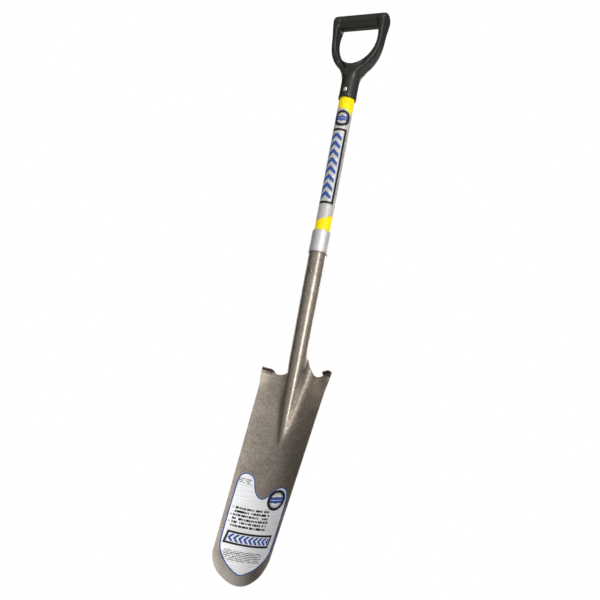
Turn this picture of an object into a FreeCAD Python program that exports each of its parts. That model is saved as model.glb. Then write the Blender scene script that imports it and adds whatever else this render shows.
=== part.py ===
# Long narrow-bladed digging spade for post holes: one pressed 16 gauge blade with a rolled socket,
# a fibreglass tube handle riveted into it, and a moulded D-grip riveted to the handle's top.
# Millimetres. +Z runs up the blade's centre line from the tip, -Y is the hollow (front) face and
# +X is to the right as seen from the front. The handle leans to the front.
import FreeCAD, Part
import math
import os
from FreeCAD import Vector as V

os.makedirs("parts", exist_ok=True)

# ---------------------------------------------------------------- driving dimensions
# Names ending in _Z are heights; names starting with S_ are stations along the handle axis.
SHEET_T = 1.5                   # 16 gauge sheet
BLADE_TOP_Z = 416.5             # top of the foot treads
TIP_Z = 52.0                    # top of the rounded end
SHOULDER_Z = 374.0              # the blade widens a little above this
HALF_W0, HALF_W_SLOPE = 56.0, 0.0362    # half width = HALF_W0 + HALF_W_SLOPE * z
HOLLOW_R0, HOLLOW_R_SLOPE = 82.0, 0.165  # radius of the blade's hollow, likewise
TREAD_IN, TREAD_OUT = 51.5, 73.8        # foot tread from / to, each side of the centre line
TREAD_DEPTH = 11.5              # how far the tread turns forward

LEAN = math.radians(11.2)       # the handle's lean to the front
AXIS_Y, AXIS_Z = -23.0, 422.0   # a point of the handle axis; its station is AXIS_Z too

FROG_Z = 272.0                  # where the frog (the socket's raised ridge) dies into the blade
NECK_Z = 430.0
ROLL_Z0, ROLL_Z1 = 430.0, 474.0     # the open section rolls shut between these heights
SOCKET_R, NECK_R = 16.95, 15.6  # outer radius of the socket at its mouth and at the neck
S_NECK, S_CONE_END = 447.0, 577.0   # the socket's cone
S_SOCKET_END = 685.0            # socket mouth
SEAM = 0.8                      # gap of the rolled socket's seam, at the back

TUBE_R, TUBE_WALL = 15.35, 3.0
S_TUBE0, S_TUBE1 = 580.0, 1033.0
PLUG_R = TUBE_R - TUBE_WALL - 0.05
PLUG_CHAMFER = 1.5
PLUG_INSET = 1.0                # from the tube's end to the plug's
S_PLUG0_END, S_PLUG1_START = 705.0, 960.0

S_COLLAR0, S_COLLAR1, COLLAR_R = 647.0, 693.0, 18.4
COLLAR_ROUND = 2.0

S_SOCKET_RIVET, S_GRIP_RIVET = 606.0, 994.0
RIVET_R, HEAD_R = 2.4, 4.6
TAIL_R, TAIL_H = 3.5, 1.3
BURR_R, BURR_T = 5.2, 1.2
FIT = 0.02                      # gap between a rivet or sticker and what it lies on
HOLE_REACH = 60.0               # cross holes run this far each side of the axis

S_GRIP0, GRIP_R = 977.0, 17.7   # lower end and radius of the grip's round socket
S_BAR, BAR_R, CHEEK_R = 1153.6, 15.3, 17.0
GRIP_HALF = 57.8                # half the grip's width

LABEL_T = 0.25                  # sticker thickness

CUT_Y0, CUT_Y1 = -150.0, 60.0   # outlines in the XZ plane are extruded between these

LEAN_COS, LEAN_SIN = math.cos(LEAN), math.sin(LEAN)
LEAN_TAN = LEAN_SIN / LEAN_COS
AXIS = V(0, -LEAN_SIN, LEAN_COS)        # up the handle
FRONT = V(0, -LEAN_COS, -LEAN_SIN)      # square to the handle, towards the front


# ---------------------------------------------------------------- general helpers
def axis_pt(s, x=0.0, v=0.0):
    """Point at station s of the handle axis, x to the right, v to the front."""
    d = s - AXIS_Z
    return V(x, AXIS_Y - LEAN_SIN * d - LEAN_COS * v, AXIS_Z + LEAN_COS * d - LEAN_SIN * v)


def smooth(t):
    """Step from 0 to 1 with level, uncurved ends."""
    t = min(1.0, max(0.0, t))
    return t * t * t * (t * (6 * t - 15) + 10)


def bisect(func, high):
    """Where func, positive at 0, falls to zero before high."""
    low = 0.0
    for _ in range(50):
        mid = (low + high) / 2
        if func(mid) > 0:
            low = mid
        else:
            high = mid
    return (low + high) / 2


def spread(first, last, count):
    return [first + (last - first) * i / (count - 1) for i in range(count)]


def spline(points, periodic=False):
    curve = Part.BSplineCurve()
    curve.interpolate(points, PeriodicFlag=periodic)
    return curve.toShape()


def lines(points):
    """Straight edges from each point to the next."""
    return [Part.makeLine(a, b) for a, b in zip(points, points[1:])]


def face_of(edges):
    return Part.Face(Part.Wire(Part.__sortEdges__(edges)))


def solid_of(faces):
    shell = Part.makeCompound(faces)
    shell.sewShape(1e-4)
    if shell.ShapeType != "Shell":
        shell = shell.Shells[0]
    solid = Part.makeSolid(shell)
    if solid.Volume < 0:
        solid.reverse()
    return solid


def cut_pt(x, z):
    """Point of the plane in which the blade's and its label's outlines are drawn."""
    return V(x, CUT_Y0, z)


def cut_prism(edges):
    return face_of(edges).extrude(V(0, CUT_Y1 - CUT_Y0, 0))


def axis_cylinder(s0, s1, radius):
    return Part.makeCylinder(radius, s1 - s0, axis_pt(s0), AXIS)


def rivet_hole(s, clearance=0.1):
    return Part.makeCylinder(RIVET_R + clearance, 2 * HOLE_REACH,
                             axis_pt(s, 0, -HOLE_REACH), FRONT)


def circle_edges(shape):
    return [e for e in shape.Edges if e.Curve.TypeId == "Part::GeomCircle"]


def edge_middle(edge):
    return edge.valueAt((edge.FirstParameter + edge.LastParameter) / 2)


def round_edges(shape, radii, wanted):
    """Round the wanted edges with the first radius that works; also gives it, or 0 for none."""
    for radius in radii:
        # guards against a radius the fillet cannot make: the next one is tried
        try:
            edges = [e for e in shape.Edges if wanted(e)]
            rounded = shape.makeFillet(radius, edges)
            if edges and rounded.isValid() and len(rounded.Solids) == 1:
                return rounded, radius
        except Exception:
            pass
    return shape, 0.0


# ---------------------------------------------------------------- the pressed sheet
# Sections are level cuts. In them v is the distance in front of y = 0.
CONE_BLEND = 12.0               # the cone eases into the cylinder over this length
FROG_BLEND = 5.0                # softness of the frog's start
NECK_BLEND = 30.0               # the ridge eases into the socket this far each side of the neck
CREST_R0 = 5.5                  # radius of the frog's crest where it starts
VALLEY_R0, VALLEY_R_GAIN = 11.0, 3.0    # radius between flank and wing, and its gain to the neck
FLANK_DEG0, FLANK_DEG_GAIN = 32, 57     # steepness of the flank, and its gain to the neck
FLARE, FLARE_X = 12.0, 74.0     # the wings' upper part is bowed back, up to x = FLARE_X
FLARE_Z, FLARE_RISE = 362.0, 52.0
SHOULDER_GAIN, SHOULDER_RISE = 2.8, 40.0
SHEET_MARGIN = 4.0              # untrimmed sheet beyond the outline
SHEET_NECK_X = 27.0             # half width of the untrimmed sheet at the neck
WING_STEP = 0.25                # sampling of the wing along the sheet
SECTION_STEPS = 600


def socket_mid_r(z):
    """Radius of the middle of the socket's sheet."""
    s = AXIS_Z + (z - AXIS_Z) / LEAN_COS
    t = min(1.0, max(-0.25, (s - S_NECK) / (S_CONE_END - S_NECK)))
    r = NECK_R + (SOCKET_R - NECK_R) * t
    if s > S_CONE_END - CONE_BLEND:
        k = smooth((s - (S_CONE_END - CONE_BLEND)) / CONE_BLEND)
        r = r * (1 - k) + SOCKET_R * k
    return r - SHEET_T / 2


def v_socket(z):
    """Front of the middle of the socket's sheet."""
    return -AXIS_Y + (z - AXIS_Z) * LEAN_TAN + socket_mid_r(z) / LEAN_COS


def v_crest(z):
    """Middle of the sheet on the centre line: a straight ridge, then the socket."""
    slope = v_socket(NECK_Z) / (NECK_Z - FROG_Z)
    u = (z - FROG_Z) / FROG_BLEND
    ridge = slope * FROG_BLEND * (u if u > 30 else math.log1p(math.exp(u)))
    k = smooth((z - (NECK_Z - NECK_BLEND)) / (2 * NECK_BLEND))
    return ridge * (1 - k) + v_socket(z) * k


def v_wing(x, z):
    """Middle of the hollow blade beside the frog."""
    q = min(1.0, (x / FLARE_X) ** 2)
    flare = -FLARE * smooth((z - FLARE_Z) / FLARE_RISE) * q * (1 - q)
    return x * x / (2 * (HOLLOW_R0 + HOLLOW_R_SLOPE * max(z, 0.0))) + flare


def wing_slope(x, z):
    return (v_wing(x + 0.05, z) - v_wing(x - 0.05, z)) / 0.1


def half_width(z):
    gain = SHOULDER_GAIN * smooth((z - SHOULDER_Z) / SHOULDER_RISE)
    return HALF_W0 + HALF_W_SLOPE * z + gain


def sheet_half_width(z):
    """Edge of the sheet before it is trimmed to its outline."""
    full = half_width(min(z, 416.0)) + SHEET_MARGIN
    return full + (SHEET_NECK_X - full) * smooth((z - 410.0) / 44.0)


def open_section(z):
    """The unrolled section: its length, and its downward angle as a function of the length."""
    q = min(1.0, max(0.0, (z - FROG_Z) / (NECK_Z - FROG_Z)))
    crest_v = v_crest(z)
    crest_r = CREST_R0 + (socket_mid_r(max(z, NECK_Z)) - CREST_R0) * q ** 0.9
    valley_r = VALLEY_R0 + VALLEY_R_GAIN * q
    steepness = math.radians(FLANK_DEG0 + FLANK_DEG_GAIN * q)

    def valley_end(angle, flank):
        """x, height above the wing and slope where the valley arc ends."""
        x = crest_r * math.sin(angle) + flank * math.cos(angle)
        v = crest_v - crest_r * (1 - math.cos(angle)) - flank * math.sin(angle)
        end = 0.0
        for _ in range(12):
            x_end = x + valley_r * (math.sin(angle) + math.sin(end))
            end = math.atan(wing_slope(x_end, z))
        x_end = x + valley_r * (math.sin(angle) + math.sin(end))
        v_end = v - valley_r * (math.cos(end) - math.cos(angle))
        return x_end, v_end - v_wing(x_end, z), end

    flank = 0.0
    if valley_end(steepness, 0.0)[1] > 0:       # room for a straight flank
        flank = bisect(lambda length: valley_end(steepness, length)[1], 80.0)
    else:
        steepness = bisect(lambda angle: valley_end(angle, 0.0)[1], steepness)
    x, _, end = valley_end(steepness, flank)
    crest_end = crest_r * steepness
    flank_end = crest_end + flank
    valley_stop = flank_end + valley_r * (steepness + end)

    wing = []                   # (length along the sheet, angle)
    length = valley_stop
    x_stop = max(sheet_half_width(z), x + 2.0)
    while x < x_stop:
        angle = -math.atan(wing_slope(x, z))
        wing.append((length, angle))
        x += WING_STEP * math.cos(angle)
        length += WING_STEP

    def angle_at(s):
        if s <= crest_end:
            return s / crest_r
        if s <= flank_end:
            return steepness
        if s <= valley_stop:
            return steepness - (s - flank_end) / valley_r
        i = min(len(wing) - 1, int((s - valley_stop) / WING_STEP))
        j = min(len(wing) - 1, i + 1)
        t = (s - wing[i][0]) / WING_STEP if j > i else 0.0
        return wing[i][1] * (1 - t) + wing[j][1] * t

    return length, angle_at


def section(z, count):
    """Points (x, v) from the centre line to the right-hand edge, evenly spaced along the sheet."""
    open_length, open_angle = open_section(z)
    shut = smooth((z - ROLL_Z0) / (ROLL_Z1 - ROLL_Z0))
    roll_r = socket_mid_r(z)
    shut_length = math.pi * roll_r - 0.2
    step = (open_length * (1 - shut) + shut_length * shut) / SECTION_STEPS
    # a level cut of the leaning socket is longer from front to back
    stretch = 1 + (1 / LEAN_COS - 1) * smooth((z - 400.0) / 50.0)
    x, v = 0.0, v_crest(z)
    fine = [(x, v)]
    for i in range(SECTION_STEPS):
        s = (i + 0.5) * step
        angle = s / roll_r
        if shut < 1:
            angle = (1 - shut) * open_angle(min(s, open_length)) + shut * s / roll_r
        x += step * math.cos(angle)
        v -= step * math.sin(angle) * stretch
        fine.append((x, v))
    # stop at the seam
    last = SECTION_STEPS
    widest = 0.0
    for i, (x, v) in enumerate(fine):
        widest = max(widest, x)
        if widest > 5 and x < SEAM / 2 + 0.25 and z > ROLL_Z0:
            last = i - 1
            break
    points = []
    for i in range(count):
        t = i / (count - 1) * last
        j = min(SECTION_STEPS - 1, int(t))
        f = t - j
        (x0, v0), (x1, v1) = fine[j], fine[j + 1]
        points.append((x0 * (1 - f) + x1 * f, v0 * (1 - f) + v1 * f))
    return points


def offset_grids(heights, count, offsets):
    """Grids of points offset to the front of the sheet's middle, one grid for each offset."""
    middle = []
    for z in heights:
        right = section(z, count)
        middle.append([V(-x, -v, z) for x, v in reversed(right[1:])]
                      + [V(x, -v, z) for x, v in right])
    rows, columns = len(middle), len(middle[0])
    grids = [[] for _ in offsets]
    for i in range(rows):
        normals = []
        for j in range(columns):
            across = middle[i][min(columns - 1, j + 1)] - middle[i][max(0, j - 1)]
            up = middle[min(rows - 1, i + 1)][j] - middle[max(0, i - 1)][j]
            normal = across.cross(up)       # +X cross +Z = -Y: towards the front
            normal.normalize()
            normals.append(normal)
        for grid, offset in zip(grids, offsets):
            grid.append([p + n * offset for p, n in zip(middle[i], normals)])
    return grids


def sheet_solid(heights, count, offset_back, offset_front):
    surfaces = []
    for grid in offset_grids(heights, count, (offset_back, offset_front)):
        surface = Part.BSplineSurface()
        surface.interpolate(grid)
        surfaces.append(surface)
    faces = [surface.toShape() for surface in surfaces]
    bounds = [surface.bounds() for surface in surfaces]     # u0, u1, v0, v1
    for side in range(4):
        wires = []
        for surface, bound in zip(surfaces, bounds):
            iso = surface.uIso if side < 2 else surface.vIso
            wires.append(Part.Wire([iso(bound[side]).toShape()]))
        faces += Part.makeLoft(wires, False, True).Faces
    return solid_of(faces)


# ---------------------------------------------------------------- blade
# rounded end, right half from beside the tip upwards: x, z
TIP_OUTLINE = [
    (12.0, 1.35), (22.6, 5.0), (32.1, 10.4), (41.3, 17.0), (48.2, 25.0), (53.3, 34.0),
    (56.5, 43.0), (half_width(TIP_Z), TIP_Z)]
SHOULDER_HEIGHTS = (SHOULDER_Z, 380, 387, 394, 401, 409, BLADE_TOP_Z)
# scoop from the tread's inner end up to the socket: x, z
SCOOP_OUTLINE = [
    (TREAD_IN, BLADE_TOP_Z), (50.4, 414.0), (47.4, 412.3), (42.5, 411.6), (36.0, 412.4),
    (30.3, 415.6), (25.6, 420.4), (21.9, 427.0), (19.2, 436.0), (17.6, 447.0), (16.6, 458)]
CLEAR_X, CLEAR_Z0, CLEAR_Z1 = 60, 459, 760      # the outline passes clear of the socket here
# lower edge of the opening in the socket's back: y, z
BACK_OPENING = [
    (2.4, 415.5), (0.6, 420.0), (-2.6, 425.0), (-6.0, 430.0), (-9.2, 436.0),
    (-11.8, 443.0), (-13.8, 451.0), (-15.7, 461.0), (-17.4, 472.0), (-18.9, 482.0)]
OPENING_HALF_W, OPENING_Y = 60, 45
INNER_BEND_RADII = (2.4, 1.6)
BEND_ROUND = 1.3                # least radius at the back of the tread's bend


def blade_outline():
    edges = [spline([cut_pt(-x, z) for x, z in reversed(TIP_OUTLINE)] + [cut_pt(0, 0)]
                    + [cut_pt(x, z) for x, z in TIP_OUTLINE])]
    top_x = half_width(BLADE_TOP_Z)
    for side in (1, -1):
        edges += lines([cut_pt(side * half_width(TIP_Z), TIP_Z),
                        cut_pt(side * half_width(SHOULDER_Z), SHOULDER_Z)])
        edges.append(spline([cut_pt(side * half_width(z), z) for z in SHOULDER_HEIGHTS]))
        edges += lines([cut_pt(side * top_x, BLADE_TOP_Z), cut_pt(side * TREAD_IN, BLADE_TOP_Z)])
        edges.append(spline([cut_pt(side * x, z) for x, z in SCOOP_OUTLINE]))
        scoop_x, scoop_z = SCOOP_OUTLINE[-1]
        edges += lines([cut_pt(side * scoop_x, scoop_z), cut_pt(side * CLEAR_X, CLEAR_Z0),
                        cut_pt(side * CLEAR_X, CLEAR_Z1)])
    edges += lines([cut_pt(-CLEAR_X, CLEAR_Z1), cut_pt(CLEAR_X, CLEAR_Z1)])
    return edges


def back_opening():
    curve = [V(-OPENING_HALF_W, y, z) for y, z in BACK_OPENING]
    edges = [spline(curve)]
    edges += lines([curve[-1], V(-OPENING_HALF_W, OPENING_Y, 482.5),
                    V(-OPENING_HALF_W, OPENING_Y, 415.3), curve[0]])
    return face_of(edges).extrude(V(2 * OPENING_HALF_W, 0, 0))


def tread(side):
    """Foot tread turned forward at the top of one wing."""
    def point(x, forward, wing_x):
        return V(side * x, -v_wing(wing_x, BLADE_TOP_Z) - forward, BLADE_TOP_Z - SHEET_T)

    rear = [point(x, 0, x) for x in spread(TREAD_IN + 0.15, TREAD_OUT - 0.35, 7)]
    front = [point(x, TREAD_DEPTH, x) for x in spread(TREAD_IN + 3.0, TREAD_OUT - 5.4, 6)]
    outer_x = TREAD_OUT - 3.6
    outer_corner = point(outer_x, TREAD_DEPTH - 1.8, outer_x)
    inner_corner = point(TREAD_IN + 0.3, TREAD_DEPTH - 4.0, TREAD_IN)
    edges = [spline(rear)]
    edges += lines([rear[-1], outer_corner, front[-1]])
    edges.append(spline(front))
    edges += lines([front[0], inner_corner, rear[0]])
    return face_of(edges).extrude(V(0, 0, SHEET_T))


def is_inner_bend(edge):
    """Edge between the wing's front face and the underside of a tread."""
    box, z = edge.BoundBox, BLADE_TOP_Z - SHEET_T
    if abs(box.ZMin - z) >= 0.02 or abs(box.ZMax - z) >= 0.02 or edge.Length <= 15:
        return False
    middle = edge_middle(edge)
    wing_y = -v_wing(abs(middle.x), BLADE_TOP_Z)
    return wing_y - 2.0 < middle.y < wing_y + 0.2


def is_outer_bend(edge):
    """Edge along the back of a tread's top."""
    box, z = edge.BoundBox, BLADE_TOP_Z
    if abs(box.ZMin - z) >= 0.01 or abs(box.ZMax - z) >= 0.01 or box.XLength <= 15:
        return False
    middle = edge_middle(edge)
    return middle.y > -v_wing(abs(middle.x), z) + 0.3


def make_blade():
    blade = sheet_solid([-6 + i * 7.0 for i in range(101)], 30, -SHEET_T / 2, SHEET_T / 2)
    blade = blade.common(cut_prism(blade_outline()))
    # open the back of the frog below the rolled part of the socket
    blade = blade.cut(back_opening())
    # square off the socket's mouth
    blade = blade.cut(axis_cylinder(S_SOCKET_END, S_SOCKET_END + 200, 80))
    blade = blade.cut(rivet_hole(S_SOCKET_RIVET))
    for side in (1, -1):
        blade = blade.fuse(tread(side))
    blade = blade.removeSplitter()
    blade, bend_r = round_edges(blade, INNER_BEND_RADII, is_inner_bend)
    return round_edges(blade, (bend_r + BEND_ROUND, BEND_ROUND), is_outer_bend)[0]


# ---------------------------------------------------------------- handle, plugs and collar
def make_tube():
    tube = axis_cylinder(S_TUBE0, S_TUBE1, TUBE_R)
    tube = tube.cut(axis_cylinder(S_TUBE0 - 1, S_TUBE1 + 1, TUBE_R - TUBE_WALL))
    return tube.cut(rivet_hole(S_SOCKET_RIVET)).cut(rivet_hole(S_GRIP_RIVET))


def make_plug(s0, s1, s_rivet):
    plug = axis_cylinder(s0, s1, PLUG_R)
    plug = plug.makeChamfer(PLUG_CHAMFER, circle_edges(plug))
    return plug.cut(rivet_hole(s_rivet))


def make_collar():
    """Collar over the socket's mouth."""
    collar = axis_cylinder(S_COLLAR0, S_COLLAR1, COLLAR_R)
    top = [e for e in circle_edges(collar)
           if (e.Curve.Center - axis_pt(S_COLLAR1)).Length < 0.1]
    collar = collar.makeFillet(COLLAR_ROUND, top)
    collar = collar.cut(axis_cylinder(S_COLLAR0 - 1, S_SOCKET_END + 0.6, SOCKET_R + 0.05))
    return collar.cut(axis_cylinder(S_COLLAR0, S_COLLAR1 + 1, TUBE_R + 0.1))


# ---------------------------------------------------------------- rivets and their burrs
def dome(s, v, radius, height, side):
    """Domed rivet head standing on the plane v, to the front (side 1) or the back (-1)."""
    ball_r = (radius * radius + height * height) / (2 * height)
    ball = Part.makeSphere(ball_r, axis_pt(s, 0, v + side * (height - ball_r)))
    start = v if side > 0 else v - height - 0.01
    keep = Part.makeCylinder(radius + 1, height + 0.01, axis_pt(s, 0, start), FRONT)
    return ball.common(keep)


def make_rivet(s, seat_r, head_h):
    """Rivet with its head at the front and its tail on a burr at the back."""
    head_v = seat_r + FIT
    back = seat_r + BURR_T
    shank_back = back + 0.6
    shank = Part.makeCylinder(RIVET_R, head_v + shank_back, axis_pt(s, 0, -shank_back), FRONT)
    head = dome(s, head_v, HEAD_R, head_h, 1)
    tail = dome(s, -(back + 2 * FIT), TAIL_R, TAIL_H, -1)
    return shank.fuse(head).fuse(tail).removeSplitter()


def make_burr(s, seat_r):
    washer = Part.makeCylinder(BURR_R, BURR_T, axis_pt(s, 0, -(seat_r + FIT) - BURR_T), FRONT)
    return washer.cut(rivet_hole(s, 0.08))


# ---------------------------------------------------------------- D-grip
PLAN_V = 24.0                   # the plan is extruded this far to front and back
S_FOOT = 970.0                  # plan and side profile start here, below the grip
FOOT_X, FOOT_V = 19.8, 20.0
# outside of the right arm as seen from the front: x, station
ARM_OUTLINE = [
    (FOOT_X, 1012.0), (19.3, 1022.0), (19.5, 1031.0), (22.4, 1041.0), (32.8, 1051.4),
    (43.4, 1065.2), (51.0, 1081.6), (54.8, 1098.6), (56.6, 1124.0), (GRIP_HALF, 1146.0),
    (GRIP_HALF, 1154.0)]
# right half of the hand opening: x, station
OPENING_OUTLINE = [
    (0.0, 1055.6), (8.0, 1056.9), (20.0, 1062.6), (31.0, 1072.6), (38.5, 1084.0),
    (43.2, 1096.0), (45.6, 1110.0), (45.8, 1124.0), (44.8, 1136.0), (44.3, 1150.0),
    (44.0, 1162.0)]
# faces of the grip seen from the side: station, front v, back v
SIDE_PROFILE = [
    (1012.0, FOOT_V, -FOOT_V), (1024.0, 18.8, -19.0), (1034.0, 17.5, -18.2),
    (1044.0, 15.8, -17.4), (1056.0, 13.4, -16.4), (1070.0, 11.8, -15.2),
    (1090.0, 10.8, -13.4), (1110.0, 10.9, -12.6), (1126.0, 12.6, -13.4),
    (1141.0, 15.4, -15.4), (1154.0, 16.5, -16.5)]
SIDE_X = 80.0                   # the side profile is extruded this far to left and right
RIM_R = GRIP_R + 0.8            # rim round the lower end of the grip's socket
RIM_CHAMFER = 0.6
# the round socket swelling into the crotch: radius, station
THROAT = [
    (GRIP_R, 1008.0), (GRIP_R + 0.1, 1014.0), (18.6, 1023.0), (21.0, 1031.0), (25.6, 1039.0),
    (34.0, 1048.0), (50.0, 1058.0), (75.0, 1068.0)]
S_THROAT_END = 1200.0
OUTER_ROUNDS = (4.2, 3.2, 2.4)
OPENING_ROUNDS = (3.4, 2.4, 1.6)
GROOVE_START, GROOVE_END = (12.5, 1043.5), (27.0, 1061.5)      # x, station
GROOVE_R, GROOVE_V = 3.6, 12.8
CHEEK_IN = 43.4                 # inner face of the bar's thick ends
CHEEK_ROUND = 4.4
CHEEK_EXTRA = 0.3               # the ends stand out this far beyond the arms
RECESS_V = 25


def plan_body():
    right = [axis_pt(s, x, -PLAN_V) for x, s in ARM_OUTLINE]
    left = [axis_pt(s, -x, -PLAN_V) for x, s in ARM_OUTLINE]
    foot_right, foot_left = [axis_pt(S_FOOT, x, -PLAN_V) for x in (FOOT_X, -FOOT_X)]
    edges = [spline(right), spline(left)]
    for pair in ((right[0], foot_right), (left[0], foot_left), (foot_right, foot_left),
                 (right[-1], left[-1])):
        edges += lines(pair)
    return face_of(edges).extrude(FRONT * (2 * PLAN_V))


def hand_opening():
    outline = [(-x, s) for x, s in reversed(OPENING_OUTLINE[1:])] + OPENING_OUTLINE
    points = [axis_pt(s, x, -PLAN_V - 2) for x, s in outline]
    edges = [spline(points)] + lines([points[-1], points[0]])
    return face_of(edges).extrude(FRONT * (2 * PLAN_V + 4))


def side_body():
    front = [axis_pt(s, -SIDE_X, v) for s, v, _ in SIDE_PROFILE]
    back = [axis_pt(s, -SIDE_X, v) for s, _, v in SIDE_PROFILE]
    foot_back, foot_front = [axis_pt(S_FOOT, -SIDE_X, v) for v in (-FOOT_V, FOOT_V)]
    edges = [spline(front), spline(back)]
    for pair in ((foot_back, foot_front), (back[0], foot_back), (front[0], foot_front),
                 (back[-1], front[-1])):
        edges += lines(pair)
    return face_of(edges).extrude(V(2 * SIDE_X, 0, 0))


def throat_body():
    points = [
        THROAT[0], (GRIP_R, 984.0), (RIM_R, 982.0), (RIM_R, S_GRIP0 + RIM_CHAMFER),
        (RIM_R - RIM_CHAMFER, S_GRIP0), (0, S_GRIP0), (0, S_THROAT_END),
        (THROAT[-1][0], S_THROAT_END), THROAT[-1]]
    edges = [spline([axis_pt(s, x) for x, s in THROAT])]
    edges += lines([axis_pt(s, x) for x, s in points])
    return face_of(edges).revolve(axis_pt(1000.0), AXIS, 360)


def middle_on_axis(edge):
    """Station, distance from the centre plane and distance to front or back."""
    offset = edge_middle(edge) - axis_pt(AXIS_Z)
    return AXIS_Z + offset.dot(AXIS), abs(offset.x), abs(offset.dot(FRONT))


def is_arm_edge(edge):
    s, x, v = middle_on_axis(edge)
    return 1045 < s < 1150 and x > 20 and v > 6 and edge.Length > 30


def is_opening_edge(edge):
    s, x, v = middle_on_axis(edge)
    return 1050 < s < 1075 and x < 15 and v > 5 and edge.Length > 60


def groove(side, face):
    """Round-ended groove slanting out towards an arm, on the front (face 1) or back (-1)."""
    start, end = [axis_pt(s, side * x, face * GROOVE_V) for x, s in (GROOVE_START, GROOVE_END)]
    along = end - start
    cutter = Part.makeCylinder(GROOVE_R, along.Length, start, along)
    return cutter.fuse(Part.makeSphere(GROOVE_R, start)).fuse(Part.makeSphere(GROOVE_R, end))


def cross_bar():
    """Bar with thick ends; between them only its top keeps the full radius."""
    half = GRIP_HALF + CHEEK_EXTRA
    bar = Part.makeCylinder(CHEEK_R, 2 * half, axis_pt(S_BAR, -half), V(1, 0, 0))
    bar = bar.makeFillet(CHEEK_ROUND, circle_edges(bar))
    recess = [axis_pt(S_BAR + ds, x, RECESS_V) for x, ds in
              ((-CHEEK_IN, -30), (CHEEK_IN, -30), (CHEEK_IN, 8.0), (-CHEEK_IN, 8.0))]
    recess_face = Part.Face(Part.makePolygon(recess + [recess[0]]))
    bar = bar.cut(recess_face.extrude(FRONT * (-2.0 * RECESS_V)))
    half = GRIP_HALF - 5
    return bar.fuse(Part.makeCylinder(BAR_R, 2 * half, axis_pt(S_BAR, -half), V(1, 0, 0)))


def make_grip():
    body = plan_body().common(side_body()).common(throat_body())
    body, _ = round_edges(body, OUTER_ROUNDS, is_arm_edge)
    body = body.cut(hand_opening())
    body, _ = round_edges(body, OPENING_ROUNDS, is_opening_edge)
    for side in (1, -1):
        for face in (1, -1):
            body = body.cut(groove(side, face))
    # small blind hole in the front of the crotch
    body = body.cut(Part.makeCylinder(1.3, 8.0, axis_pt(1048.0, 0, 13.9), FRONT))
    grip = body.fuse(cross_bar())
    # bore for the handle
    grip = grip.cut(axis_cylinder(S_GRIP0 - 1, S_TUBE1 + 0.5, TUBE_R + 0.08))
    grip = grip.cut(rivet_hole(S_GRIP_RIVET))
    return max(grip.Solids, key=lambda solid: solid.Volume)


# ---------------------------------------------------------------- stickers
LABEL_GAP = 0.03                # between the blade and its label
LABEL_X = 1.0                   # the label's outline is shifted this far to the right
# outline of the blade's label, round from the bottom by the right: x before the shift, z
LABEL_OUTLINE = [
    (-6, 18), (10, 22.5), (26, 31), (38, 41), (46, 50), (51.5, 62), (53, 80), (53.8, 110),
    (54.2, 140), (53.5, 162), (50, 175), (43, 183.5), (34, 187), (24, 185), (14, 177.5),
    (6, 168), (-2, 163.5), (-11, 166), (-18, 174), (-22.5, 184), (-26, 195), (-31, 202.5),
    (-39, 206.5), (-47, 206), (-53, 201), (-56, 192), (-56, 165), (-55.5, 130), (-54.5, 95),
    (-53, 70), (-49, 56), (-40, 42), (-28, 30)]
LABEL_SPLIT = 6                 # the outline's two splines meet at this point


def make_blade_label():
    back = SHEET_T / 2 + LABEL_GAP
    film = sheet_solid([6 + i * 6.0 for i in range(37)], 40, back, back + LABEL_T)
    points = [cut_pt(LABEL_X + x, z) for x, z in LABEL_OUTLINE]
    return film.common(cut_prism([spline(points[:LABEL_SPLIT + 1]),
                                  spline(points[LABEL_SPLIT:] + [points[0]])]))


def upper_wave(angle):
    """Station of the handle label's upper edge; angle from the front towards +X."""
    return 944.0 + 9.5 * math.cos(angle + math.radians(8))


def lower_wave(angle):
    return 722.0 + 9.0 * math.sin(angle - math.radians(56))


def wave_cutter(wave, s_end):
    """Ring round the handle between a waved edge and the station s_end."""
    angles = [2 * math.pi * i / 36 for i in range(36)]

    def loop(station, r):
        return spline([axis_pt(station(a), r * math.sin(a), r * math.cos(a)) for a in angles],
                      periodic=True)

    (wave_in, flat_in), (wave_out, flat_out) = [
        (loop(wave, r), loop(lambda a: s_end, r)) for r in (10.0, 22.0)]
    return solid_of([Part.makeRuledSurface(a, b) for a, b in (
        (wave_in, flat_in), (wave_out, flat_out), (wave_in, wave_out), (flat_in, flat_out))])


def make_handle_label():
    inner_r = TUBE_R + FIT
    label = axis_cylinder(700, 975, inner_r + LABEL_T).cut(axis_cylinder(699, 976, inner_r))
    return label.cut(wave_cutter(upper_wave, 990.0)).cut(wave_cutter(lower_wave, 685.0))


# ---------------------------------------------------------------- build, centre and write
parts = {
    "blade": make_blade(),
    "handle_tube": make_tube(),
    "lower_plug": make_plug(S_TUBE0 + PLUG_INSET, S_PLUG0_END, S_SOCKET_RIVET),
    "upper_plug": make_plug(S_PLUG1_START, S_TUBE1 - PLUG_INSET, S_GRIP_RIVET),
    "socket_collar": make_collar(),
    "socket_rivet": make_rivet(S_SOCKET_RIVET, SOCKET_R, 1.7),
    "socket_rivet_burr": make_burr(S_SOCKET_RIVET, SOCKET_R),
    "grip_rivet": make_rivet(S_GRIP_RIVET, GRIP_R, 1.9),
    "grip_rivet_burr": make_burr(S_GRIP_RIVET, GRIP_R),
    "d_grip": make_grip(),
    "blade_label": make_blade_label(),
    "handle_label": make_handle_label(),
}

# the spade's extent from front to back is centred on y = 0
ys = [p.y for name in ("blade", "d_grip") for p in parts[name].tessellate(0.05)[0]]
y_shift = -(min(ys) + max(ys)) / 2
for name, part in parts.items():
    shape = part.copy()
    shape.translate(V(0, y_shift, 0))
    if shape.ShapeType == "Compound" and len(shape.Solids) == 1:
        shape = shape.Solids[0]
    shape.exportStep("parts/%s.step" % name)
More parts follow.
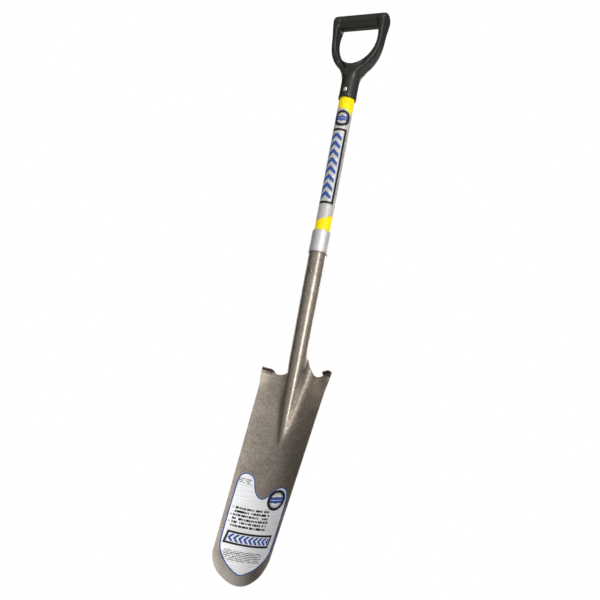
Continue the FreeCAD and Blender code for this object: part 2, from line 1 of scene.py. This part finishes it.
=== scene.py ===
"""A digging spade: steel blade, leaning yellow fibreglass handle, collar, rivets and a D grip.

The spade stands along +Z with its front towards -Y and its blade across X. The scene is in
metres. Shaders work in mm, with y measured from the blade's middle plane.
"""
import bpy, bmesh, math
from mathutils import Vector, Matrix


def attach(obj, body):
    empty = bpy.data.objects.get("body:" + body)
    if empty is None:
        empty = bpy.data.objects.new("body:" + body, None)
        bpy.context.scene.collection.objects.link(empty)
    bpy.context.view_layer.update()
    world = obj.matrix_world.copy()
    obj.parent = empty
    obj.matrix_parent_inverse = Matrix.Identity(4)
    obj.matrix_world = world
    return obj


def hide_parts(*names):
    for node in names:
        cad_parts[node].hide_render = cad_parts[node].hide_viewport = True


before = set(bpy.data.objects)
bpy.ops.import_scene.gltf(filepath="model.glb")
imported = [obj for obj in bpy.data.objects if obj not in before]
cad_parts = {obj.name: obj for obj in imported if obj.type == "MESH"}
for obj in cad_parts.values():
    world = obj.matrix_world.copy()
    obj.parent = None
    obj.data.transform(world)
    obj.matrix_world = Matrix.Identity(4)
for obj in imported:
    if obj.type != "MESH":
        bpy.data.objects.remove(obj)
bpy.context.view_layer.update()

BLADE_PLANE_Y = 0.09067543    # m, the blade's middle plane
HANDLE_LEAN = math.radians(11.2)    # the handle leans forward as it rises
AXIS_FORWARD = 23.0    # mm, the handle axis stands this far in front of the blade plane ...
AXIS_STATION = 422.0    # mm, ... at this height, which is also its station along the axis
HANDLE_RADIUS = 15.6    # mm, turns angles into lengths around the handle


# ------------------------------------------------------------------ shader language
def operator(operation, swapped=False):
    def method(self, *others):
        inputs = (*others, self) if swapped else (self, *others)
        return math_node(operation, *inputs)
    return method


class Socket:
    """A node output; each operator or method used on it adds a Math node."""

    def __init__(self, tree, output):
        self.tree = tree
        self.output = output

    __add__ = operator("ADD")
    __radd__ = operator("ADD", swapped=True)
    __sub__ = operator("SUBTRACT")
    __rsub__ = operator("SUBTRACT", swapped=True)
    __mul__ = operator("MULTIPLY")
    __rmul__ = operator("MULTIPLY", swapped=True)
    __truediv__ = operator("DIVIDE")
    __pow__ = operator("POWER")
    __gt__ = operator("GREATER_THAN")
    __lt__ = operator("LESS_THAN")
    __abs__ = operator("ABSOLUTE")
    floor = operator("FLOOR")
    fract = operator("FRACT")
    sqrt = operator("SQRT")
    min = operator("MINIMUM")
    max = operator("MAXIMUM")
    arctan2 = operator("ARCTAN2")


def plug(target, value):
    if isinstance(value, Socket):
        value.tree.links.new(value.output, target)
    else:
        target.default_value = value


def add_node(kind, inputs, output=0, tree=None, **settings):
    """Adds a node; inputs maps socket names or numbers to values, and gives the tree if none is."""
    if tree is None:
        tree = next(value.tree for value in inputs.values() if isinstance(value, Socket))
    node = tree.nodes.new(kind)
    for name, value in settings.items():
        setattr(node, name, value)
    for key, value in inputs.items():
        plug(node.inputs[key], value)
    return Socket(tree, node.outputs[output])


def math_node(operation, *inputs, clamp=False):
    return add_node("ShaderNodeMath", dict(enumerate(inputs)),
                    operation=operation, use_clamp=clamp)


def vector_math(operation, inputs, output=0):
    return add_node("ShaderNodeVectorMath", inputs, output, operation=operation)


def hypot(across, up):
    return (across ** 2.0 + up ** 2.0).sqrt()


def ramp(value, start, end, low=0.0, high=1.0, kind="SMOOTHSTEP"):
    """Goes from low at start to high at end; start may be the larger."""
    inputs = {"Value": value, "From Min": start, "From Max": end, "To Min": low, "To Max": high}
    return add_node("ShaderNodeMapRange", inputs, clamp=True, interpolation_type=kind)


def vector(x, y, z):
    return add_node("ShaderNodeCombineXYZ", {0: x, 1: y, 2: z})


def noise(position, scale, detail=3.0, rough=0.5, warp=0.0):
    """Factors on the coordinates of position stretch the noise along them."""
    inputs = {"Vector": position, "Scale": scale, "Detail": detail,
              "Roughness": rough, "Distortion": warp}
    return add_node("ShaderNodeTexNoise", inputs)


def voronoi(position, scale):
    return add_node("ShaderNodeTexVoronoi", {"Vector": position, "Scale": scale}, "Distance")


def white_noise(position):
    return add_node("ShaderNodeTexWhiteNoise", {"Vector": position}, "Value")


def mix(factor, first, second):
    return add_node("ShaderNodeMix", {"Factor": factor, 6: first, 7: second}, 2,
                    data_type="RGBA")


def mix_value(factor, first, second):
    return add_node("ShaderNodeMix", {"Factor": factor, 2: first, 3: second}, data_type="FLOAT")


def srgb(*channels):
    """Linear RGBA from 0-255 sRGB channels."""
    parts = [channel / 255.0 for channel in channels]
    return (*(part / 12.92 if part <= 0.04045 else ((part + 0.055) / 1.055) ** 2.4
              for part in parts), 1.0)


def tint(colour, *layers):
    """Lays colours over a base; each layer is (mask, amount, sRGB colour)."""
    for mask, amount, over in layers:
        colour = mix(mask * amount, colour, srgb(*over))
    return colour


def bump(height, distance, strength, normal=None):
    """distance is in metres."""
    inputs = {"Strength": strength, "Distance": distance, "Height": height}
    if normal is not None:
        inputs["Normal"] = normal
    return add_node("ShaderNodeBump", inputs)


def new_material(name):
    """A bare material, and its object coordinates in mm."""
    material = bpy.data.materials.new(name)
    material.use_nodes = True
    tree = material.node_tree
    tree.nodes.clear()
    tree.nodes.new("ShaderNodeOutputMaterial")
    split = tree.nodes.new("ShaderNodeSeparateXYZ")
    plug(split.inputs[0], add_node("ShaderNodeTexCoord", {}, "Object", tree))
    x, y, z = (Socket(tree, axis) for axis in split.outputs)
    return material, x * 1000.0, (y - BLADE_PLANE_Y) * 1000.0, z * 1000.0


def principled(**inputs):
    """Underscores in the names stand for spaces."""
    named = {name.replace("_", " "): value for name, value in inputs.items()}
    return add_node("ShaderNodeBsdfPrincipled", named)


def surface(material, shader):
    plug(material.node_tree.nodes["Material Output"].inputs["Surface"], shader)
    return material


def handle_coordinates(x, y, z):
    """Station along the handle axis and distance in front of it in mm, with the angle about it
    in degrees from the front towards +X between them."""
    cosine = math.cos(HANDLE_LEAN)
    sine = math.sin(HANDLE_LEAN)
    y = y + AXIS_FORWARD
    z = z - AXIS_STATION
    station = AXIS_STATION + (z * cosine - y * sine)
    forward = 0.0 - (y * cosine + z * sine)
    angle = x.arctan2(forward) * (180.0 / math.pi)
    return station, angle, forward


# ------------------------------------------------------------------ plain materials
def scratches(lines_at, scale, warp, lines, width, breaks_at, break_scale, break_start):
    """Thin contour lines of a soft noise, broken up by another noise."""
    contour = noise(lines_at, scale=scale, detail=1.0, warp=warp)
    line = ramp(abs((contour * lines).fract() - 0.5), start=width, end=0.0)
    breaks = noise(breaks_at, scale=break_scale, detail=2.0, rough=0.6)
    return line * ramp(breaks, start=break_start, end=break_start + 0.12)


def steel_material():
    material, x, y, z = new_material("ground_steel")
    place = vector(x, y, z)
    grain = noise(vector(x, y, z * 0.12), scale=1.3, rough=0.62)    # drawn along the blade
    fleck = noise(place, scale=1.1, detail=2.0, rough=0.75)
    speck = noise(place, scale=0.42, rough=0.72, warp=0.3)
    soft_fleck = noise(place, scale=0.75, detail=2.0, rough=0.7)
    cloud = noise(place, scale=0.018, rough=0.55, warp=0.4)
    blot = noise(place, scale=0.11, detail=4.0, rough=0.62, warp=0.8)
    scratch = scratches(
        place, scale=0.13, warp=0.6, lines=8.0, width=0.09,
        breaks_at=place, break_scale=0.15, break_start=0.50,
    ).max(scratches(
        vector(z, x, y), scale=0.22, warp=0.8, lines=6.0, width=0.08,
        breaks_at=vector(z, y, x), break_scale=0.2, break_start=0.52))
    # lighter ground edge at the bottom of the blade, with a painted highlight on it that grows
    # towards -X
    ground_edge_and_painted_highlight = ramp(z + x * 0.35, start=34.0, end=2.0)
    # less polished valleys beside the frog, spreading as they rise
    side = abs(x)
    off_valley = abs(side - (z - 272.0) * 0.17 - 6.0)
    valley = (ramp(off_valley, start=11.0, end=4.0) * ramp(z, start=272.0, end=310.0)
              * ramp(z, start=445.0, end=425.0))
    # painted shade in the bends under the treads, on their undersides only
    painted_tread_shade = (ramp(z, start=411.5, end=414.6) * ramp(z, start=415.7, end=415.2)
               * ramp(side, start=50.0, end=52.0))

    tone = cloud * 0.45 + blot * 0.25 + grain * 0.15 + soft_fleck * 0.15
    colour = tint(
        mix(ramp(tone, start=0.38, end=0.62), srgb(126, 115, 103), srgb(154, 143, 131)),
        (ramp(speck, start=0.50, end=0.68), 0.34, (186, 176, 162)),
        (ramp(speck, start=0.50, end=0.32), 0.38, (76, 67, 57)),
        (ramp(fleck, start=0.58, end=0.74), 0.50, (214, 206, 193)),
        (ramp(soft_fleck, start=0.50, end=0.30), 0.22, (80, 71, 61)),
        (scratch, 0.6, (228, 221, 210)),
        # ground edge lightened further by a painted highlight towards -X
        (ground_edge_and_painted_highlight, 0.55, (206, 198, 186)),
        # painted shade under the treads
        (painted_tread_shade, 0.7, (44, 37, 30)))
    rough = 0.35 - ground_edge_and_painted_highlight * 0.06 + (blot - 0.5) * 0.12 + (grain - 0.5) * 0.12 - scratch * 0.08
    normal = bump(grain * 0.4 + fleck * 0.6, distance=0.00010, strength=0.38)
    waves = noise(place, scale=0.045, detail=2.0)
    normal = bump(waves, distance=0.0010, strength=0.25, normal=normal)
    return surface(material, principled(
        Base_Color=colour, Metallic=0.80, Roughness=rough + valley * 0.16, Normal=normal,
        Coat_Weight=0.65 - valley * 0.5, Coat_Roughness=0.20))


def fibreglass_material():
    material, x, y, z = new_material("yellow_fibreglass")
    station, angle, _ = handle_coordinates(x, y, z)
    fibre = noise(vector(angle * 0.55, station * 0.012, 0.0), scale=1.0, detail=5.0, rough=0.6)
    fine = noise(vector(angle * 2.2, station * 0.02, 3.0), scale=1.0, rough=0.6)
    cloud = noise(vector(x, y, z), scale=0.05)
    scuff = ramp(noise(vector(angle * 0.9, station * 0.16, 7.0), scale=1.0, detail=6.0, rough=0.7),
                 start=0.66, end=0.80)
    colour = tint(
        mix(ramp(fibre * 0.6 + cloud * 0.4, start=0.38, end=0.64),
            srgb(253, 214, 0), srgb(255, 232, 4)),
        (scuff, 0.20, (226, 190, 60)))
    return surface(material, principled(
        Base_Color=colour, Roughness=0.36 + fine * 0.10 + scuff * 0.18,
        Normal=bump(fibre * 0.6 + fine * 0.5, distance=0.00010, strength=0.5),
        Specular_IOR_Level=0.28, Coat_Weight=0.0, IOR=1.45,
        Subsurface_Weight=0.06, Subsurface_Radius=(0.002, 0.0012, 0.0004)))


def wood_material():
    material, x, y, z = new_material("ash_dowel")
    station, _, forward = handle_coordinates(x, y, z)
    # growth rings about a line 9 mm to the -X side of the handle axis
    radius = hypot(x + 9.0, forward)
    wobble = noise(vector(x, y, z * 0.1), scale=0.12, detail=2.0)
    ring = (radius * 0.42 + wobble * 1.1).fract()
    fibre = noise(vector(x * 1.6, y * 1.6, station * 0.03), scale=1.2, detail=4.0, rough=0.6)
    return surface(material, principled(
        Base_Color=mix(ring * 0.7 + fibre * 0.3, srgb(214, 182, 136), srgb(168, 128, 82)),
        Roughness=0.62 + fibre * 0.1,
        Normal=bump(ring * 0.4 + fibre, distance=0.0001, strength=0.6)))


def collar_material():
    material, x, y, z = new_material("brushed_aluminium")
    station, angle, _ = handle_coordinates(x, y, z)
    brushing = noise(vector(angle * 0.16, station * 0.045, 0.0), scale=1.0, detail=4.0, rough=0.65)
    cloud = noise(vector(x, y, z), scale=0.16, rough=0.6)
    dirt = ramp(noise(vector(x, y, z), scale=0.5, detail=5.0, rough=0.7), start=0.58, end=0.78)
    dab = ramp(noise(vector(angle * 0.035, station * 0.30, 5.0), scale=1.0, rough=0.6),
               start=0.50, end=0.66)
    # painted shadow along the lower end of the collar, where it meets the socket
    painted_shadow_at_lower_end = ramp(station, start=650.5, end=647.0)
    colour = tint(
        mix(brushing * 0.6 + cloud * 0.4, srgb(190, 187, 187), srgb(224, 222, 223)),
        (dirt, 0.30, (140, 132, 124)),
        (dab, 0.45, (150, 145, 142)),
        (painted_shadow_at_lower_end, 0.7, (92, 86, 82)))
    return surface(material, principled(
        Base_Color=colour, Metallic=0.70,
        Roughness=0.42 + (brushing - 0.5) * 0.14 + dirt * 0.1,
        Normal=bump(brushing, distance=0.00006, strength=0.6), Anisotropic=0.5))


def rivet_material(name, dark, light, rough):
    material, x, y, z = new_material(name)
    mottle = noise(vector(x, y, z), scale=1.3, detail=5.0, rough=0.65)
    dents = voronoi(vector(x, y, z), scale=1.6)
    return surface(material, principled(
        Base_Color=mix(mottle, srgb(*dark), srgb(*light)), Metallic=1.0,
        Roughness=rough + mottle * 0.14,
        Normal=bump(mottle * 0.5 + dents * 0.5, distance=0.00012, strength=0.4)))


def grip_material():
    material, x, y, z = new_material("moulded_grip")
    cells = voronoi(vector(x, y, z), scale=1.5)
    fine = noise(vector(x, y, z), scale=2.4, rough=0.6)
    cloud = noise(vector(x, y, z), scale=0.05, warp=0.8)
    scuff = ramp(noise(vector(x * 0.35, y, z * 1.1), scale=0.55, detail=6.0, rough=0.72),
                 start=0.60, end=0.76)
    colour = tint(mix(cloud, srgb(22, 22, 15), srgb(30, 30, 21)), (scuff, 0.18, (60, 58, 53)))
    return surface(material, principled(
        Base_Color=colour, Roughness=0.31 + fine * 0.08 + scuff * 0.10,
        Normal=bump(cells * 0.5 + fine * 0.5, distance=0.00008, strength=0.22), IOR=1.5))


# ------------------------------------------------------------------ printed stickers
INK = srgb(16, 16, 22)
BLUE = srgb(40, 72, 146)
EDGE_SOFTNESS = 0.08    # mm, half the blur of a printed edge
FULL_TURN = 6.28318    # radians, for spacing the ticks of a seal

# outline of the blade sticker before its shift: (x, z) in mm, anticlockwise in x and z
BLADE_STICKER = [
    (-6, 18), (10, 22.5), (26, 31), (38, 41), (46, 50), (51.5, 62), (53, 80), (53.8, 110),
    (54.2, 140), (53.5, 162), (50, 175), (43, 183.5), (34, 187), (24, 185), (14, 177.5),
    (6, 168), (-2, 163.5), (-11, 166), (-18, 174), (-22.5, 184), (-26, 195), (-31, 202.5),
    (-39, 206.5), (-47, 206), (-53, 201), (-56, 192), (-56, 165), (-55.5, 130), (-54.5, 95),
    (-53, 70), (-49, 56), (-40, 42), (-28, 30)]
STICKER_SHIFT = 1.0    # mm towards +X


def after(value, earlier):
    """The value, all but unchanged, made to be worked out after earlier."""
    return value + earlier * 1e-7


def inside(distance):
    """1 where the signed distance is negative."""
    return ramp(distance, start=EDGE_SOFTNESS, end=-EDGE_SOFTNESS, kind="LINEAR")


def rectangle(across, up, centre, half_size):
    """Signed distance to a rectangle."""
    return (abs(across - centre[0]) - half_size[0]).max(abs(up - centre[1]) - half_size[1])


def seal_ink(across, up, centre, rings, ticks, hub_radius, hub_gap):
    """Round seal. rings: (radius, half width) each. ticks: radius, half width, count, fill.
    The hub is a disc cut by a gap of half height hub_gap."""
    radius = hypot(across - centre[0], up - centre[1])
    turn = (up - centre[1]).arctan2(across - centre[0])
    ink = None
    for middle, half_width in rings:
        ring = inside(abs(radius - middle) - half_width)
        ink = ring if ink is None else ink.max(ring)
    middle, half_width, count, fill = ticks
    ink = ink.max(inside(abs(radius - middle) - half_width)
                  * ((turn * (count / FULL_TURN)).fract() < fill))
    return ink.max(inside(radius - hub_radius) * (abs(up - centre[1]) > hub_gap))


def seal_band(across, up, centre, half_size, slit):
    """Bar across a seal, split along its middle by a slit of half height slit."""
    return inside(rectangle(across, up, centre, half_size)) * (abs(up - centre[1]) > slit)


def small_print(across, up, start, end, top, pitch, rows, fill, cell, seed, ragged=0.25, gap=0.2):
    """Rows of plain dashes. fill: share of the pitch inked; ragged: largest share of a row cut
    from its end; gap: share of the cells left empty."""
    row = (top - up) / pitch
    row_number = row.floor()
    on_rows = (row > 0.0) * (row < float(rows))
    off_middle = abs(row.fract() - 0.5)
    row_end = end - (end - start) * ragged * white_noise(vector(row_number, seed, 3.0))
    on_row = (across > start) * (across < row_end)
    chance = white_noise(vector((across / cell).floor(), row_number, seed))
    dash = (across / cell).fract() < 0.55 + chance * 0.6
    printed = (chance * 7.31).fract() > gap
    tall = off_middle < fill * 0.5 * (0.75 + 0.25 * chance)
    return on_rows * on_row * dash * printed * tall


def film(material, x, y, z, ink, blue, dark, light, metal=0.35):
    """Silver film with black and blue print; its rolling marks run across it."""
    place = vector(x, y, z)
    mottle = noise(place, scale=0.9, detail=4.0, rough=0.6)
    rolling = noise(vector(x * 0.02, y * 0.02, z * 0.6), scale=1.0, rough=0.6)
    bare = tint(mix(ramp(rolling, start=0.35, end=0.65), srgb(*dark), srgb(*light)),
                (mottle, 0.12, (150, 149, 147)))
    colour = mix(blue, bare, tint(BLUE, (mottle, 0.3, (64, 94, 164))))
    colour = mix(ink, colour, INK)
    printed = ink.max(blue)
    wrinkles = noise(place, scale=0.06, detail=2.0, warp=0.3)
    normal = bump(wrinkles, distance=0.0005, strength=0.2)
    normal = bump(printed, distance=0.00003, strength=0.5, normal=normal)
    return surface(material, principled(
        Base_Color=colour, Metallic=mix_value(printed, metal, 0.0),
        Roughness=mix_value(printed, 0.42, 0.45) + mottle * 0.05, Normal=normal,
        Specular_IOR_Level=0.35))


def smooth_outline(points, steps):
    """Catmull-Rom curve through a closed outline."""
    curve = []
    count = len(points)
    for i in range(count):
        near = [points[(i + j) % count] for j in (-1, 0, 1, 2)]
        for step in range(steps):
            part = step / steps
            curve.append(tuple(
                0.5 * (2 * here + (ahead - behind) * part
                       + (2 * behind - 5 * here + 4 * ahead - beyond) * part * part
                       + (-behind + 3 * here - 3 * ahead + beyond) * part ** 3)
                for behind, here, ahead, beyond in zip(*near)))
    return curve


def outline_distance(x, z, outline):
    """Distance to the nearest side of a closed outline, taken side by side."""
    distance = None
    for start, end in zip(outline, outline[1:] + outline[:1]):
        run = (end[0] - start[0], end[1] - start[1])
        squared = run[0] ** 2 + run[1] ** 2
        point = vector(x if distance is None else after(x, distance), z, 0.0)
        offset = vector_math("SUBTRACT", {0: point, 1: (*start, 0)})
        along = vector_math("DOT_PRODUCT",
                            {0: offset, 1: (run[0] / squared, run[1] / squared, 0)}, "Value")
        # the Math node is there for its clamp to the ends of the side
        along = math_node("MULTIPLY", along, 1.0 + 1e-6, clamp=True)
        nearest = vector_math("SCALE", {0: (*run, 0), "Scale": along})
        gap = vector_math("DISTANCE", {0: offset, 1: nearest}, "Value")
        distance = gap if distance is None else distance.min(gap)
    return distance


def blade_sticker_material():
    material, x, y, z = new_material("blade_sticker")
    seal = (29.8, 162.0)
    text_top = 142.3
    text_pitch = 6.7
    bullet_pitch = 2 * text_pitch
    panel_z = 83.3

    outline = smooth_outline([(px + STICKER_SHIFT, pz) for px, pz in BLADE_STICKER], steps=2)
    blue = inside(outline_distance(x, z, outline) - 2.1)    # border
    across = after(x, blue)
    ink = seal_ink(across, z, seal, rings=((17.4, 2.7), (12.6, 0.4)),
                   ticks=(15.0, 1.2, 26, 0.55), hub_radius=6.5, hub_gap=5.0)
    blue = blue.max(seal_band(across, z, seal, half_size=(16.0, 5.6), slit=0.5))

    # small print at the top, in the middle and at the bottom
    for block in (
            dict(start=-54.0, end=-31.0, top=196.0, pitch=3.4, rows=3, fill=0.52, cell=1.9,
                 seed=2.0),
            dict(start=-45.0, end=26.0, top=text_top, pitch=text_pitch, rows=6, fill=0.66,
                 cell=3.4, seed=4.0, ragged=0.12, gap=0.10),
            dict(start=-42.0, end=37.0, top=61.5, pitch=3.2, rows=6, fill=0.50, cell=1.6,
                 seed=6.0, ragged=0.12, gap=0.1)):
        across = after(across, ink)
        ink = ink.max(small_print(across, z, **block))
    across = after(across, ink)

    # a bullet on every other row of the middle print
    row = (text_top - z) / bullet_pitch
    bullet = hypot(across + 48.5, (row.fract() - 0.25) * bullet_pitch)
    ink = ink.max(inside(bullet - 1.1) * (row > 0.0) * (row < 3.0))

    # slanted frame around a row of chevrons
    slanted = across + (z - panel_z) * -0.12
    panel = rectangle(slanted, z, centre=(-2.0, panel_z), half_size=(43.5, 10.6))
    ink = ink.max(inside(abs(panel + 0.4) - 2.0))
    chevron = ((across - abs(z - panel_z) * 0.9) / 9.4).fract()
    blue = blue.max((chevron > 0.42) * inside(panel + 3.4))
    return film(material, x, y, z, ink, blue, dark=(222, 222, 222), light=(246, 247, 249))


def handle_sticker_material():
    material, x, y, z = new_material("handle_sticker")
    station, angle, _ = handle_coordinates(x, y, z)
    around = angle * (HANDLE_RADIUS * math.pi / 180.0)    # mm from the front towards +X
    seal = (4.4, 931.0)
    panel = (0.0, 828.0)
    ink = seal_ink(around, station, seal, rings=((14.9, 2.7),),
                   ticks=(11.4, 1.0, 22, 0.5), hub_radius=7.0, hub_gap=5.6)
    blue = seal_band(around, station, seal, half_size=(13.0, 4.8), slit=0.4)

    # long frame on the front around a column of chevrons
    around = after(around, ink)
    frame_edge = rectangle(around, station, panel, half_size=(18.6, 79.0))
    ink = ink.max(inside(abs(frame_edge + 1.0) - 2.5))
    chevron = ((station + abs(around) * 0.9) / 18.0).fract()
    blue = blue.max((chevron > 0.5)
                    * inside(rectangle(around, station, panel, half_size=(12.0, 70.0))))

    # small print along the handle, either side of the back
    earlier = blue
    for top, seed in ((47.0, 8.0), (-22.0, 9.0)):
        around = after(around, earlier)
        ink = ink.max(small_print(station, around, start=765.0, end=905.0, top=top, pitch=3.2,
                                  rows=8, fill=0.45, cell=2.2, seed=seed))
        earlier = ink
    return film(material, x, y, z, ink, blue, dark=(178, 176, 171), light=(206, 204, 200),
                metal=0.3)


# ------------------------------------------------------------------ dressing the frame's pieces
def frame_object(name):
    """The frame may hold the object itself or its name."""
    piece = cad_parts[name]
    return piece if hasattr(piece, "data") else bpy.data.objects[piece]


def dress(piece, material):
    if not piece.material_slots:
        piece.data.materials.append(material)
    for slot in piece.material_slots:
        slot.material = material


STEEL = steel_material()
YELLOW = fibreglass_material()
WOOD = wood_material()
COLLAR = collar_material()
RIVET = rivet_material("rivet_steel", dark=(170, 166, 160), light=(228, 226, 222), rough=0.22)
GRIP = grip_material()
DULL_RIVET = rivet_material("rivet_steel_lacquered", dark=(104, 94, 84), light=(150, 139, 127),
                            rough=0.38)
LOOKS = {
    "blade": STEEL, "handle_tube": YELLOW, "lower_plug": WOOD, "upper_plug": WOOD,
    "socket_collar": COLLAR, "socket_rivet": DULL_RIVET, "socket_rivet_burr": DULL_RIVET,
    "grip_rivet": RIVET, "grip_rivet_burr": RIVET, "d_grip": GRIP,
    "blade_label": blade_sticker_material(), "handle_label": handle_sticker_material()}
for piece_name, look in LOOKS.items():
    dress(frame_object(piece_name), look)


# ------------------------------------------------------------------ grip
def build_grip():
    """The frame's grip, remeshed and smoothed to give it moulded blends."""
    source = frame_object("d_grip")
    mesh = bpy.data.meshes.new("grip_body")
    shape = bmesh.new()
    shape.from_mesh(source.data)
    shape.transform(source.matrix_world)
    bmesh.ops.remove_doubles(shape, verts=shape.verts, dist=1e-6)
    shape.to_mesh(mesh)
    shape.free()
    grip = bpy.data.objects.new("grip_body", mesh)
    bpy.context.scene.collection.objects.link(grip)

    remesh = grip.modifiers.new("remesh", "REMESH")
    remesh.mode = "VOXEL"
    remesh.voxel_size = 0.0010
    remesh.use_smooth_shade = True
    smooth = grip.modifiers.new("smooth", "SMOOTH")
    smooth.factor = 0.6
    smooth.iterations = 20

    # apply both modifiers
    evaluated = grip.evaluated_get(bpy.context.evaluated_depsgraph_get())
    applied = bpy.data.meshes.new_from_object(evaluated)
    grip.modifiers.clear()
    grip.data = applied
    bpy.data.meshes.remove(mesh)

    for polygon in applied.polygons:
        polygon.use_smooth = True
    applied.materials.clear()
    applied.materials.append(GRIP)
    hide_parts("d_grip")
    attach(grip, "root")


build_grip()


# ------------------------------------------------------------------ stage
def build_floor(half=6.0, level=-0.0005):
    """Pale floor that can't be seen from below."""
    mesh = bpy.data.meshes.new("floor")
    corners = [(-half, -half, level), (half, -half, level), (half, half, level),
               (-half, half, level)]
    mesh.from_pydata(corners, [], [(0, 1, 2, 3)])
    floor = bpy.data.objects.new("floor", mesh)
    bpy.context.scene.collection.objects.link(floor)
    material, x, y, z = new_material("floor")
    tree = material.node_tree
    cloud = noise(vector(x, y, z), scale=0.004)
    colour = mix(cloud, (0.80, 0.80, 0.80, 1.0), (0.86, 0.86, 0.86, 1.0))
    mesh.materials.append(surface(material, add_node("ShaderNodeMixShader", {
        0: add_node("ShaderNodeNewGeometry", {}, "Backfacing", tree),
        1: principled(Base_Color=colour, Roughness=0.9),
        2: add_node("ShaderNodeBsdfTransparent", {}, tree=tree)})))


def area_light(name, location, target, size, power, height=None):
    """Square light, or a rectangle where a height is given."""
    light = bpy.data.lights.new(name, "AREA")
    light.energy = power
    light.size = size
    if height:
        light.shape = "RECTANGLE"
        light.size_y = height
    lamp = bpy.data.objects.new(name, light)
    lamp.location = location
    aim = Vector(target) - Vector(location)
    lamp.rotation_euler = aim.to_track_quat("-Z", "Y").to_euler()
    bpy.context.scene.collection.objects.link(lamp)


def build_world():
    """White to the camera; lights the spade mostly from the front, +X side and above."""
    world = bpy.data.worlds.new("studio")
    bpy.context.scene.world = world
    world.use_nodes = True
    tree = world.node_tree
    tree.nodes.clear()
    output = tree.nodes.new("ShaderNodeOutputWorld")
    direction = add_node("ShaderNodeTexCoord", {}, "Generated", tree)
    facing = vector_math("DOT_PRODUCT", {0: direction, 1: (0.60, -0.74, 0.30)}, "Value")
    strength = ramp(facing, start=-0.25, end=1.0, low=0.06, high=0.80)
    white = (1.0, 1.0, 1.0, 1.0)
    plug(output.inputs[0], add_node("ShaderNodeMixShader", {
        0: add_node("ShaderNodeLightPath", {}, "Is Camera Ray", tree),
        1: add_node("ShaderNodeBackground", {0: white, 1: strength}),
        2: add_node("ShaderNodeBackground", {0: white, 1: 1.0}, tree=tree)}))


def build_camera():
    """Looks up at the spade from below the floor, in front and to the +X side."""
    camera = bpy.data.cameras.new("cam")
    camera.sensor_fit = "HORIZONTAL"
    camera.sensor_width = 36.0
    camera.lens = 76.359
    camera.clip_start = 0.05
    camera.clip_end = 50
    holder = bpy.data.objects.new("cam", camera)
    right = (0.880392, 0.394764, 0.262813)
    up = (-0.023138, -0.517755, 0.855216)
    backward = (0.473681, -0.759007, -0.446691)
    pose = Matrix((right, up, backward)).transposed().to_4x4()
    pose.translation = (1.129431, -1.888998 + BLADE_PLANE_Y, -0.532552)
    bpy.context.scene.collection.objects.link(holder)
    holder.matrix_world = pose
    bpy.context.scene.camera = holder


build_floor()
area_light("key", (1.62, -1.42, 0.62), target=(0, 0, 0.45), size=0.55, power=20.0, height=1.1)
area_light("high", (1.1, -1.7, 2.3), target=(0, 0, 0.9), size=0.9, power=16.0)
area_light("rim", (-2.1, 0.9, 1.2), target=(0, 0, 0.6), size=0.5, power=7.0, height=1.6)
area_light("back", (0.5, 2.3, 1.5), target=(0, 0, 0.6), size=1.5, power=22.0)
build_world()
bpy.context.scene.view_settings.view_transform = "Standard"
bpy.context.scene.view_settings.look = "None"
build_camera()

bpy.context.view_layer.update()
